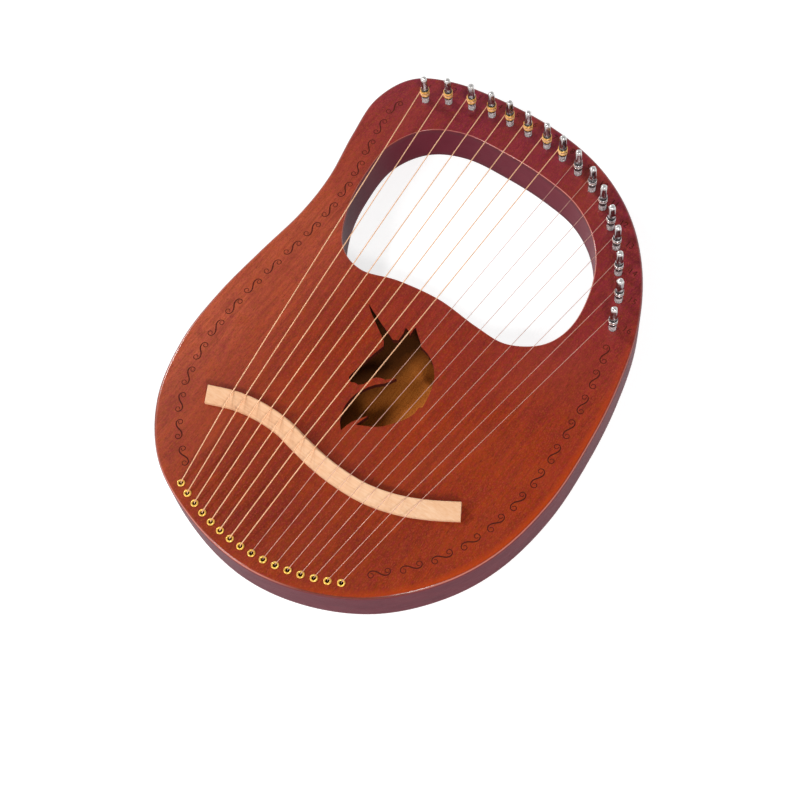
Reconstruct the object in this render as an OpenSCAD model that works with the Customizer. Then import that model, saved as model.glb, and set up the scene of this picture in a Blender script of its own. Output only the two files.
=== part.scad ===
// Sixteen-string lyre lying on its back.
// The origin is at the middle of the back face's outline, +Z points out of the front,
// +Y runs along the strings towards the tuning pins and +X towards the treble side.

/* [Body] */
// Length of the body along the strings
body_length = 408; // [300:1:560]
// Width of the body across the strings
body_width = 296; // [220:1:400]
// Depth of the body from back face to front face
body_depth = 31; // [25:0.5:60]
// Thickness of the front board
front_thickness = 4; // [3:0.5:6]
// Thickness of the back board
back_thickness = 4; // [3:0.5:6]
// Thickness of the outer side wall
wall_thickness = 5; // [3:0.5:6]
// Thickness of the wall round the hand hole
liner_thickness = 5; // [3:0.5:10]
// Bevel along the outer edges of both boards
edge_bevel = 2.5; // [0.5:0.1:2.9]
// Gap left between a block and the walls beside it
block_gap = 0.2; // [0.1:0.1:0.5]

/* [Hand hole] */
// Size of the hand hole along the strings
hole_length = 141; // [110:1:150]
// Depth of the arch that holds the tuning pins, from the hand hole to the top
arch_depth = 41; // [36:1:60]
// Width of the two arms beside the hand hole, together
arm_width = 96; // [90:1:130]
// Bevel along the edges of the hand hole
hole_bevel = 1.2; // [0.5:0.1:2.9]

/* [Soundhole] */
// Height of the soundhole from the base of the neck to the tip of the horn
soundhole_height = 91; // [70:1:100]

/* [Tuning pins] */
// Diameter of a tuning pin
pin_d = 5.6; // [4.5:0.1:7]
// Height of a tuning pin above the front face
pin_height = 26; // [24:0.5:34]
// Depth of a tuning pin below the front face
pin_depth = 19; // [12:0.5:20.5]
// Radial running clearance of a pin in the pin block
pin_clearance = 0.05; // [0.02:0.01:0.1]
// Width across the flats of the square head
head_flats = 4.8; // [3.5:0.1:5]
// Length of the square head
head_length = 11; // [8:0.5:12]
// Turn of the first square head about its pin
head_turn = 45; // [0:5:90]
// Radial clearance of a pin in the front board
board_clearance = 0.2; // [0.1:0.05:0.5]

/* [Strings] */
// Diameter of the eight wound bass strings
bass_d = 0.75; // [0.6:0.05:1.2]
// Diameter of the eight plain treble strings
treble_d = 0.4; // [0.3:0.05:0.9]
// Height of the strings above the front face at the pins
string_rise = 9.7; // [9.2:0.1:12]
// Turns of string wound on a bass pin above the level of its string
bass_turns = 4; // [2:1:5]
// Turns of string wound on a treble pin above the level of its string
treble_turns = 6; // [2:1:8]
// Turns of string wound on each pin below the level of its string
lower_turns = 2; // [1:1:4]
// Gap between a string that stands still and the pin that turns beside it
string_gap = 0.2; // [0.15:0.05:0.4]

/* [Bridge] */
// Height of the bridge's ridge above the front face
bridge_height = 8; // [5:0.5:9]
// Distance from the ridge to the tail-side foot
bridge_slope = 10.5; // [8:0.5:14]
// Distance from the ridge to the pin-side foot
bridge_back = 3; // [2:0.5:5]
// Width of the flat along the ridge
ridge_flat = 1.2; // [0.8:0.1:2]
// Height of the tail-side edge
bridge_toe = 2.4; // [1:0.2:4]

/* [Tail] */
// Diameter of an eyelet's rim
eyelet_d = 5.4; // [4.6:0.1:6.2]
// Height of an eyelet's rim above the front face
eyelet_rise = 0.9; // [0.6:0.1:1.5]
// Diameter of the passage for a string
passage_d = 2.4; // [1.8:0.1:2.8]
// Diameter of a string's ball end
ball_d = 4.2; // [3.4:0.1:4.4]
// Length of a string's ball end
ball_length = 3.8; // [3:0.1:5]
// Wall of a back ferrule
ferrule_wall = 0.7; // [0.5:0.1:0.8]
// Depth of the tail block along the strings at its middle
tail_depth = 48; // [44:1:60]

/* [Hidden] */
$fn = 48;
count = 16;
bass_count = 8;
mahogany = [0.50, 0.18, 0.12];

// Stretch of the design's plan to the chosen body size
sx = body_width / 296;
sy = body_length / 408;

// Points that the outline's curve passes through, anticlockwise from the bottom
OUTLINE = [
    [4, -204], [49, -196], [90, -175], [121, -142], [140, -103], [148, -55], [146, -5],
    [139, 42], [126, 88], [103, 131], [71, 166], [31, 190], [-15, 202], [-62, 204],
    [-106, 199], [-136, 184], [-148, 153], [-143, 116], [-134, 75], [-132, 37],
    [-136, -5], [-139, -50], [-136, -95], [-120, -141], [-88, -177], [-43, -197]
];

// Points that the hand hole's curve passes through, from its middle
HAND_HOLE = [
    [45, -65], [71, -65], [93, -50], [100, -24], [92, 12], [74, 40], [47, 59], [15, 67],
    [-19, 70], [-56, 69], [-84, 56], [-99, 29], [-98, -5], [-90, -36], [-74, -62],
    [-51, -71], [-23, -64], [11, -61]
];

// Places of the tuning pins, bass to treble
PINS = [
    [-114, 172], [-98, 180], [-80, 185], [-63, 187], [-47, 187.5], [-30, 186.5],
    [-12, 184.5], [4, 181], [20.5, 176], [37, 169], [52, 159.5], [66, 148],
    [78.5, 135.5], [91, 118], [103, 99], [111.5, 77.5]
];

// Turn of each pin's head beyond the first one's
TURNS = [0, 10, -15, 5, 20, -5, 0, 15, -10, 5, -20, 10, 0, -5, 15, -10];

// Points along the bridge's ridge, bass to treble
RIDGE = [
    [-92, -116], [-72, -109], [-52, -106], [-32, -106.5], [-13, -110.5], [6, -114],
    [26, -115.5], [46, -114.5], [66, -109.5], [84, -101.5], [102, -91]
];

// The eyelets stand on an arc, and each ferrule below them clears the side wall
ferrule_r = ball_d / 2 + 0.1 + ferrule_wall;
eyelet_centre = [-2, -40.5];
eyelet_radius = 161.4 - wall_thickness - ferrule_r;
eyelet_step = 3.39;
eyelet_middle = -88.2;

// Closed curve and open curve through points, with a number of steps between neighbours
function blend(a, b, c, d, t) =
    0.5 * (2 * b + (c - a) * t + (2 * a - 5 * b + 4 * c - d) * t * t
    + (3 * b - a - 3 * c + d) * t * t * t);
function loop(p, steps) = [
    for (i = [0:len(p) - 1], j = [0:steps - 1])
        let (m = len(p))
        blend(p[(i + m - 1) % m], p[i], p[(i + 1) % m], p[(i + 2) % m], j / steps)
];
function path(p, steps) = [
    for (i = [0:len(p) - 2], j = [0:(i == len(p) - 2 ? steps : steps - 1)])
        blend(p[max(i - 1, 0)], p[i], p[i + 1], p[min(i + 2, len(p) - 1)], j / steps)
];

function unit(v) = v / norm(v);
function right_of(v) = [v[1], -v[0]];

// Closed curve moved sideways: outwards for a positive distance
function moved(c, distance) = [
    for (i = [0:len(c) - 1])
        c[i] + distance * right_of(unit(c[(i + 1) % len(c)] - c[(i + len(c) - 1) % len(c)]))
];

// Open curve moved sideways: to its right for a positive distance
function beside(c, distance) = [
    for (i = [0:len(c) - 1])
        c[i] + distance * right_of(unit(c[min(i + 1, len(c) - 1)] - c[max(i - 1, 0)]))
];
function stretch(c) = [for (p = c) [p[0] * sx, p[1] * sy]];

outline = loop(stretch(OUTLINE), 5);
hole_centre = [-13 * sx, body_length / 2 - arch_depth - hole_length / 2];
hole_width = body_width - arm_width;
hole_scale = [hole_width / 200, hole_length / 141];
hand_hole = loop([
    for (p = HAND_HOLE)
        hole_centre + [p[0] * hole_scale[0], p[1] * hole_scale[1]]
], 5);

// A pin stands between the outline and the hand hole: half of its place follows each of them
pins = [
    for (p = PINS)
        let (from_hole = p - [-13, 92.5])
        ([p[0] * sx, p[1] * sy]
        + hole_centre + [from_hole[0] * hole_scale[0], from_hole[1] * hole_scale[1]]) / 2
];
ridge = path(stretch(RIDGE), 4);
eyelets = stretch([
    for (i = [0:count - 1])
        let (a = eyelet_middle + (i - (count - 1) / 2) * eyelet_step)
        eyelet_centre + eyelet_radius * [cos(a), sin(a)]
]);

front_z = body_depth;
inner_top = body_depth - front_thickness;
inner_height = body_depth - front_thickness - back_thickness;
bevel_reach = max(edge_bevel, hole_bevel) + 2;
pin_r = pin_d / 2;
tube_r = passage_d / 2 + 0.6;
ferrule_height = ball_length + 2;

function string_r(i) = (i < bass_count ? bass_d : treble_d) / 2;
function turns(i) = i < bass_count ? bass_turns : treble_turns;

// Where the straight line from a to b crosses the open curve c
function crossing(a, b, c) = [
    for (k = [0:len(c) - 2])
        let (u = right_of(b - a) * (c[k] - a), v = right_of(b - a) * (c[k + 1] - a))
        if (u * v <= 0) c[k] + (c[k + 1] - c[k]) * u / (u - v)
][0];

// Place where a string leaves its pin on the bass side
function leaving(i) =
    pins[i] + (pin_r + string_gap + string_r(i)) * right_of(unit(eyelets[i] - pins[i]));

// Outline of the unicorn's head, in smooth runs that meet at its corners
HEAD = [
    path([[-42, 1], [-25, -7], [-10, -13.5]], 2),
    path([[-6.5, -11.5], [-7, -5], [-8, -1], [-4.5, -2], [-2, -4.5]], 2),
    path([[-2.5, -1], [-2.5, 3], [2, -0.5], [6.5, -4]], 2),
    path([[10, -7.5], [17, -9.5], [25, -14.5], [31, -21.5], [34.5, -29], [37, -38.5], [38, -45.5]], 3),
    path([[36, -47], [36, -53], [33, -60], [27, -68.5], [20, -75], [8, -81]], 3),
    path([[11, -71], [8, -75], [4, -82], [2, -90]], 3),
    path([[-2.5, -85], [-6, -77], [-7, -68], [-5, -59], [0, -50], [6, -44], [10, -37]], 3),
    path([[4.5, -42], [0, -43], [-3.5, -46], [-6, -53]], 3),
    path([[-9, -55.5], [-12, -55.5], [-15, -56.5], [-18, -54], [-17.5, -48]], 3),
    path([[-17, -42], [-15.5, -35], [-14, -28], [-12.5, -21]], 2),
    path([[-15, -17.5], [-26, -10.5], [-36, -4]], 2)
];
head_base = [2, -90];
soundhole = [
    for (run = HEAD, p = run)
        [head_base[0] * sx, head_base[1] * sy] + (p - head_base) * soundhole_height / 91
];

// Flat plate between two closed curves
module band(outer, inner, height) {
    linear_extrude(height)
        polygon(
            concat(outer, inner),
            [[for (i = [0:len(outer) - 1]) i], [for (i = [0:len(inner) - 1]) len(outer) + i]]
        );
}

// Ring along a closed curve with a beveled top corner on the curve; it reaches to the side by reach
module bevel_ring(c, reach, bevel, height) {
    side = sign(reach);
    n = len(c);
    back = moved(c, reach);
    top = moved(c, bevel * side);
    rows = [
        [for (p = c) [p[0], p[1], 0]],
        [for (p = c) [p[0], p[1], height - bevel]],
        [for (p = top) [p[0], p[1], height]],
        [for (p = back) [p[0], p[1], height]],
        [for (p = back) [p[0], p[1], 0]]
    ];
    points = [for (row = rows, p = row) p];
    faces = [
        for (r = [0:4], i = [0:n - 1])
            let (a = r * n + i, b = r * n + (i + 1) % n, q = (r + 1) % 5)
            side < 0 ? [a, q * n + i, q * n + (i + 1) % n, b] : [a, b, q * n + (i + 1) % n, q * n + i]
    ];
    polyhedron(points, faces);
}

// Board with the body's outline, the hand hole and beveled outer edges, face up
module board(height) {
    band(moved(outline, -bevel_reach), moved(hand_hole, bevel_reach), height);
    bevel_ring(outline, -bevel_reach, edge_bevel, height);
    bevel_ring(hand_hole, bevel_reach, hole_bevel, height);
}

module front_board() {
    color(mahogany)
        difference() {
            translate([0, 0, inner_top])
                board(front_thickness);
            translate([0, 0, inner_top - 1])
                linear_extrude(front_thickness + 2)
                    polygon(soundhole);
            for (p = pins)
                translate([p[0], p[1], inner_top - 1])
                    cylinder(r = pin_r + board_clearance, h = front_thickness + 2);
            for (p = eyelets)
                translate([p[0], p[1], inner_top - 1])
                    cylinder(r = tube_r, h = front_thickness + 2);
        }
}

module back_board() {
    color(mahogany)
        difference() {
            translate([0, 0, back_thickness])
                mirror([0, 0, 1])
                    board(back_thickness);
            for (p = eyelets)
                translate([p[0], p[1], -1])
                    cylinder(r = ferrule_r, h = back_thickness + 2);
        }
}

module side_rim() {
    color(mahogany * 0.85)
        translate([0, 0, back_thickness])
            band(outline, moved(outline, -wall_thickness), inner_height);
}

module hole_rim() {
    color(mahogany * 0.8)
        translate([0, 0, back_thickness])
            band(moved(hand_hole, liner_thickness), hand_hole, inner_height);
}

// Solid wood under the arch, between the side wall and the hand hole
module pin_block() {
    outer = moved(outline, -wall_thickness - block_gap);
    inner = moved(hand_hole, liner_thickness + block_gap);
    color("burlywood")
        difference() {
            translate([0, 0, back_thickness])
                linear_extrude(inner_height)
                    polygon(concat(
                        [for (i = [35:84]) outer[i]],
                        [for (i = [59:-1:13]) inner[i]]
                    ));
            for (p = pins)
                translate([p[0], p[1], front_z - pin_depth - 0.3])
                    cylinder(r = pin_r + pin_clearance, h = pin_depth + 1);
        }
}

// Solid wood under the eyelets
module tail_block() {
    outer = moved(outline, -wall_thickness - block_gap);
    edge = tail_depth - body_length / 2;
    color("burlywood")
        difference() {
            translate([0, 0, back_thickness])
                linear_extrude(inner_height)
                    polygon(concat(
                        [for (i = [118:129]) outer[i]],
                        [for (i = [0:11]) outer[i]],
                        [[outer[11][0], edge], [outer[118][0], edge]]
                    ));
            for (p = eyelets) {
                translate([p[0], p[1], 0])
                    cylinder(r = passage_d / 2, h = body_depth);
                translate([p[0], p[1], back_thickness - 1])
                    cylinder(r = ferrule_r, h = ferrule_height - back_thickness + 1.3);
            }
        }
}

// Pale wooden bridge: a wedge that follows the ridge line
module bridge() {
    feet = [
        [bridge_slope, 0], [bridge_slope, bridge_toe], [ridge_flat / 2, bridge_height],
        [-ridge_flat / 2, bridge_height], [-bridge_back, 0]
    ];
    rows = [for (f = feet) beside(ridge, f[0])];
    n = len(ridge);
    m = len(feet);
    points = [for (k = [0:m - 1], p = rows[k]) [p[0], p[1], feet[k][1]]];
    sides = [
        for (k = [0:m - 1], i = [0:n - 2])
            [k * n + i, k * n + i + 1, ((k + 1) % m) * n + i + 1, ((k + 1) % m) * n + i]
    ];
    ends = [[for (k = [0:m - 1]) k * n], [for (k = [m - 1:-1:0]) k * n + n - 1]];
    color("moccasin")
        translate([0, 0, front_z])
            polyhedron(points, concat(sides, ends));
}

module bridge_brace() {
    color("wheat")
        translate([-90 * sx, -125 * sy, inner_top - 12])
            cube([180 * sx, 10, 12]);
}

// Brass eyelets that the strings go down through
module front_eyelets() {
    color("gold")
        for (p = eyelets)
            translate([p[0], p[1], 0])
                rotate_extrude()
                    difference() {
                        union() {
                            translate([passage_d / 2, inner_top])
                                square([tube_r - passage_d / 2 - 0.02, front_thickness + 0.1]);
                            translate([passage_d / 2, front_z])
                                square([(eyelet_d - passage_d) / 2, eyelet_rise]);
                        }
                        translate([eyelet_d / 2, front_z + eyelet_rise])
                            circle(r = eyelet_rise * 0.7);
                        translate([passage_d / 2, front_z + eyelet_rise])
                            circle(r = eyelet_rise * 0.5);
                    }
}

// Brass cups in the back that hold the ball ends
module back_ferrules() {
    color("gold")
        for (i = [0:count - 1])
            translate([eyelets[i][0], eyelets[i][1], 0.2])
                difference() {
                    cylinder(r = ferrule_r - 0.02, h = ferrule_height);
                    translate([0, 0, -1])
                        cylinder(r = ball_d / 2 + 0.1, h = ball_length + 1.4);
                    translate([0, 0, -1])
                        cylinder(r = string_r(i) + 0.1, h = ferrule_height + 2);
                }
}

// Ball ends, each threaded on the end of its string
module string_balls() {
    color("goldenrod")
        for (i = [0:count - 1])
            translate([eyelets[i][0], eyelets[i][1], 0.5])
                difference() {
                    cylinder(d = ball_d, h = ball_length);
                    translate([0, 0, -1])
                        cylinder(r = string_r(i) + 0.02, h = ball_length + 2);
                }
}

// Turns of string lie side by side on the pin, above and below the level where the string comes in
function coil_pitch(i) = 1.92 * string_r(i);
function coil_start(i) = front_z + string_rise + 2 * string_r(i) + string_gap;
function coil_top(i) = coil_start(i) + (turns(i) - 1) * coil_pitch(i);

// Outline of the square head's corners, turned round the pin's axis: a slight taper and a round tip
head_top = front_z + pin_height;
head_tip = [for (a = [0:15:90]) [1.2 * cos(a), 1.2 * sin(a)]];
head_profile = concat(
    [[0, -head_length - 0.5], [pin_r - 0.05, -head_length - 0.5], [pin_r - 0.3, -1.2]],
    [for (p = head_tip) [pin_r - 1.5 + p[0], p[1] - 1.2]],
    [[0, 0]]
);

// Tuning pin: round in the wood and under the string, square on top
module tuning_pin(i) {
    color("gainsboro")
        translate([pins[i][0], pins[i][1], 0])
            rotate([0, 0, head_turn + TURNS[i]])
                difference() {
                    union() {
                        translate([0, 0, front_z - pin_depth])
                            cylinder(d = pin_d, h = pin_depth + pin_height - head_length);
                        intersection() {
                            translate([-head_flats / 2, -head_flats / 2, head_top - head_length - 0.5])
                                cube([head_flats, head_flats, head_length + 1]);
                            translate([0, 0, head_top])
                                rotate_extrude()
                                    polygon(head_profile);
                        }
                    }
                    translate([0, 0, coil_top(i)])
                        rotate([0, 90, 0])
                            cylinder(r = string_r(i) + 0.05, h = pin_d + 2, center = true);
                }
}

// A stack of turns: its lowest turn is centred at z, and the next ones lie above it
module stack(i, z, amount) {
    r = string_r(i);
    rotate_extrude() {
        translate([pin_r + 0.02, z - 0.6 * r])
            square([0.9 * r, (amount - 1) * coil_pitch(i) + 1.2 * r]);
        for (k = [0:amount - 1])
            translate([pin_r + 0.02 + r, z + k * coil_pitch(i)])
                circle(r = r);
    }
}

// Turns of string on a pin, whose end goes through the pin's string hole
module string_coil(i) {
    r = string_r(i);
    low = front_z + string_rise - 2 * r - string_gap - (lower_turns - 1) * coil_pitch(i);
    color(i < bass_count ? "peru" : "silver")
        translate([pins[i][0], pins[i][1], 0]) {
            stack(i, low, lower_turns);
            stack(i, coil_start(i), turns(i));
            rotate([0, 0, head_turn + TURNS[i]])
                translate([-pin_r - 0.5 * r, 0, coil_top(i)])
                    rotate([0, 90, 0])
                        cylinder(r = 0.96 * r, h = pin_d + r);
        }
}

// Straight round wire between two points
module wire(a, b, r) {
    v = b - a;
    translate(a)
        rotate([0, acos(v[2] / norm(v)), atan2(v[1], v[0])])
            cylinder(r = r, h = norm(v));
}

// String from nearly half a turn on its pin, over the ridge, down through its eyelet to its ball
module string(i) {
    r = string_r(i);
    p = pins[i];
    e = eyelets[i];
    start = leaving(i);
    top = front_z + string_rise;
    cross = crossing(start, e, ridge);
    over = [cross[0], cross[1], front_z + bridge_height + r + 0.1];
    mouth = [e[0], e[1], front_z + eyelet_rise + r];
    heading = atan2(over[1] - start[1], over[0] - start[0]);
    color(i < bass_count ? "peru" : "silver") {
        wire([start[0], start[1], top], over, r);
        wire(over, mouth, r);
        wire(mouth, [e[0], e[1], 0.7], r);
        translate(over)
            sphere(r = r + 0.05);
        translate(mouth)
            sphere(r = r + 0.05);
        translate([start[0], start[1], top])
            sphere(r = r + 0.05);
        translate([p[0], p[1], top])
            rotate([0, 0, heading - 90])
                rotate_extrude(angle = 170)
                    translate([norm(start - p), 0])
                        circle(r = r);
    }
}

front_board();
back_board();
side_rim();
hole_rim();
pin_block();
tail_block();
bridge();
bridge_brace();
front_eyelets();
back_ferrules();
string_balls();
tuning_pin(0);  // tuning_pin_01
tuning_pin(1);  // tuning_pin_02
tuning_pin(2);  // tuning_pin_03
tuning_pin(3);  // tuning_pin_04
tuning_pin(4);  // tuning_pin_05
tuning_pin(5);  // tuning_pin_06
tuning_pin(6);  // tuning_pin_07
tuning_pin(7);  // tuning_pin_08
tuning_pin(8);  // tuning_pin_09
tuning_pin(9);  // tuning_pin_10
tuning_pin(10);  // tuning_pin_11
tuning_pin(11);  // tuning_pin_12
tuning_pin(12);  // tuning_pin_13
tuning_pin(13);  // tuning_pin_14
tuning_pin(14);  // tuning_pin_15
tuning_pin(15);  // tuning_pin_16
string_coil(0);  // string_coil_01
string_coil(1);  // string_coil_02
string_coil(2);  // string_coil_03
string_coil(3);  // string_coil_04
string_coil(4);  // string_coil_05
string_coil(5);  // string_coil_06
string_coil(6);  // string_coil_07
string_coil(7);  // string_coil_08
string_coil(8);  // string_coil_09
string_coil(9);  // string_coil_10
string_coil(10);  // string_coil_11
string_coil(11);  // string_coil_12
string_coil(12);  // string_coil_13
string_coil(13);  // string_coil_14
string_coil(14);  // string_coil_15
string_coil(15);  // string_coil_16
string(0);  // string_01
string(1);  // string_02
string(2);  // string_03
string(3);  // string_04
string(4);  // string_05
string(5);  // string_06
string(6);  // string_07
string(7);  // string_08
string(8);  // string_09
string(9);  // string_10
string(10);  // string_11
string(11);  // string_12
string(12);  // string_13
string(13);  // string_14
string(14);  // string_15
string(15);  // string_16
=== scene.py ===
from math import atan2, cos, pi, radians, sin

import bmesh
import bpy
import numpy as np
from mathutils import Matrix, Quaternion, Vector, geometry


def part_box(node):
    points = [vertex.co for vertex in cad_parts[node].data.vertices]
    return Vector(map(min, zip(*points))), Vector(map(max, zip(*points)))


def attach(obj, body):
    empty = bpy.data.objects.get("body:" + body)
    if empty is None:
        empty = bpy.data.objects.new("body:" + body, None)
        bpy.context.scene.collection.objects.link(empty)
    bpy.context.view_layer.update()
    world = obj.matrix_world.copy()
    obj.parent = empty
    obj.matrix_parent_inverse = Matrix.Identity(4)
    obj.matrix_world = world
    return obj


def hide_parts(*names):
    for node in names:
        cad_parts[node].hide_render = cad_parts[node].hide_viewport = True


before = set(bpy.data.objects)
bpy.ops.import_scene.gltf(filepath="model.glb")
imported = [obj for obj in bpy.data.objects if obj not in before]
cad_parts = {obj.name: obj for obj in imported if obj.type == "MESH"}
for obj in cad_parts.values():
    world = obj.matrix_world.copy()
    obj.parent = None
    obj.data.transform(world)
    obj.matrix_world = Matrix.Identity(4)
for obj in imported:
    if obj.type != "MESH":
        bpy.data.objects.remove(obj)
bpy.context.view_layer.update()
MM = 0.001

# Heights of the front board's two sides, of the back board's inner side, of the pins' tips and of
# the places where their round shafts turn into their square heads
low, high = [np.array(v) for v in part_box("front_board")]
FACE = high[2]
INSIDE = low[2]
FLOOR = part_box("back_board")[1][2]
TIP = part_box("tuning_pin_01")[1][2]
SHOULDER = FACE + 15 * MM

# ---------------------------------------------------------------- camera

scene = bpy.context.scene
eye = Vector((0.338, -0.371, 0.869))
aim = Vector((0.0216, -0.0488, 0.030))
roll = Quaternion((0, 0, 1), radians(-9.67))
camera = bpy.data.objects.new("camera", bpy.data.cameras.new("camera"))
camera.data.sensor_width = 36
camera.data.lens = 63
camera.location = eye
camera.rotation_euler = ((aim - eye).to_track_quat("-Z", "Y") @ roll).to_euler()
scene.collection.objects.link(camera)
scene.camera = camera
scene.view_settings.view_transform = "Standard"


# ---------------------------------------------------------------- materials

class Field:
    """One value of a material: + - * on it, from either side, add Math nodes."""

    def __init__(self, shader, socket):
        self.shader = shader
        self.socket = socket

    def math(self, operation, *values):
        """The operation's result for the values, which are fields or numbers."""
        inputs = dict(enumerate(values))
        return self.shader.node("Math", {"operation": operation}, inputs)

    def __add__(self, other):
        return self.math("ADD", self, other)

    def __sub__(self, other):
        return self.math("SUBTRACT", self, other)

    def __rsub__(self, other):
        return self.math("SUBTRACT", other, self)

    def __mul__(self, other):
        return self.math("MULTIPLY", self, other)

    __radd__ = __add__
    __rmul__ = __mul__

    def wave(self, length):
        """Sine of this value between 0 and 1, with one wave for each length."""
        turn = self * (2 * pi / length)
        return turn.math("SINE", turn) * 0.5 + 0.5


class Shader:
    """A material on the Principled shader. Every other node comes from node()."""

    def __init__(self, name, **finish):
        self.material = bpy.data.materials.new(name)
        self.material.use_nodes = True
        self.tree = self.material.node_tree
        self.principled = self.tree.nodes["Principled BSDF"]
        self.set(**finish)

    def set(self, **finish):
        """Values or fields for the Principled shader's sockets, by name."""
        for key, value in finish.items():
            self.give(self.principled.inputs[key.replace("_", " ")], value)

    def give(self, socket, value):
        """Links a field to a socket, or sets the socket's own value."""
        if isinstance(value, Field):
            self.tree.links.new(value.socket, socket)
        else:
            socket.default_value = value

    def node(self, kind, settings=None, inputs=None, out=0):
        """One node: its settings come first, then its sockets' values or links."""
        node = self.tree.nodes.new("ShaderNode" + kind)
        for key, value in (settings or {}).items():
            if key == "stops":
                ramp = node.color_ramp.elements
                while len(ramp) < len(value):
                    ramp.new(0.5)
                for stop, (place, colour) in zip(ramp, value):
                    stop.position = place
                    stop.color = colour
            else:
                setattr(node, key, value)
        for key, value in (inputs or {}).items():
            self.give(node.inputs[key], value)
        return Field(self, node.outputs[out])

    def place(self, scale=(1, 1, 1), turned=0.0):
        """Object coordinates, turned about Z and then scaled."""
        point = self.node("TexCoord", out="Object")
        if turned:
            point = self.node("Mapping", {}, {"Vector": point, "Rotation": (0, 0, turned)})
        return self.node("Mapping", {}, {"Vector": point, "Scale": scale})

    def axis(self, letter, point=None):
        """One of the three numbers of a point: of the object coordinates, if no other is given."""
        return self.node("SeparateXYZ", {}, {0: point or self.place()}, out=letter)

    def run(self):
        """What the piece's grid gives as its run: a distance along it, or the kind of edge, with
        its wear, painted shade and painted highlights.
        """
        return self.axis("X", self.node("UVMap", {"uv_map": "run"}))

    def noise(self, stretch, detail, rough=0.6, twist=0.0, turned=0.0):
        """Noise with stretch waves to the metre along each axis, turned about Z."""
        return self.node("TexNoise", {}, {
            "Vector": self.place(stretch, turned), "Scale": 1.0, "Detail": detail,
            "Roughness": rough, "Distortion": twist})

    def ramp(self, value, *stops):
        """Colour of the value between stops of (place, colour)."""
        return self.node("ValToRGB", {"stops": stops}, {"Fac": value})

    def band(self, value, low, high, start=0.0, end=1.0):
        """Value carried from low..high to start..end, and held at the ends."""
        return self.node("MapRange", {"clamp": True}, {
            "Value": value, "From Min": low, "From Max": high, "To Min": start, "To Max": end})

    def mix(self, share, first, second):
        """The first colour, turned into the second as share goes from 0 to 1."""
        settings = {"data_type": "RGBA", "clamp_factor": True}
        return self.node("Mix", settings, {0: share, 6: first, 7: second}, out=2)

    def bump(self, height, strength, distance):
        """Normal tilted by the slope of a height that spans distance metres from 0 to 1."""
        return self.node("Bump", {}, {
            "Height": height, "Strength": strength, "Distance": distance}, out="Normal")


def rgb(red, green, blue):
    """A colour given as it looks on a screen, 0 to 255, as linear light."""
    c = np.array([red, green, blue]) / 255
    linear = np.where(c <= 0.04045, c / 12.92, ((c + 0.055) / 1.055) ** 2.4)
    return (*[float(v) for v in linear], 1.0)


# Lengths that one turn takes up: of the pins' thread, and of the thin wire round a string's core
THREAD_PITCH = 0.45 * MM
WIND_PITCH = 0.25 * MM


def wood(name, dark, mid, light, fine=1.0, turned=0.0, rough=0.4, pores=0.5, gloss=0.3):
    """Wood with its grain along Y: slow drift, long fibres and short dark pores."""
    s = Shader(name)
    drift = s.noise((16, 4, 16), 3, 0.55, 0.4, turned)
    fibre = s.noise((900 * fine, 60 * fine, 900 * fine), 4, 0.65, 0.2, turned)
    fleck = s.noise((2600 * fine, 260 * fine, 2600 * fine), 2, 0.6, 0.0, turned)
    tone = drift * 0.45 + fibre * 0.55
    colour = s.ramp(tone, (0.30, dark), (0.5, mid), (0.70, light))
    pore = s.band(fleck, 0.60, 0.72)
    colour = s.mix(pore * pores, colour, dark)
    s.set(Base_Color=colour,
          Roughness=fibre * 0.14 + (rough - 0.07),
          Normal=s.bump(fibre * 0.5 - pore * 0.5, 0.25, 0.00015),
          Specular_IOR_Level=gloss)
    return s.material


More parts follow.
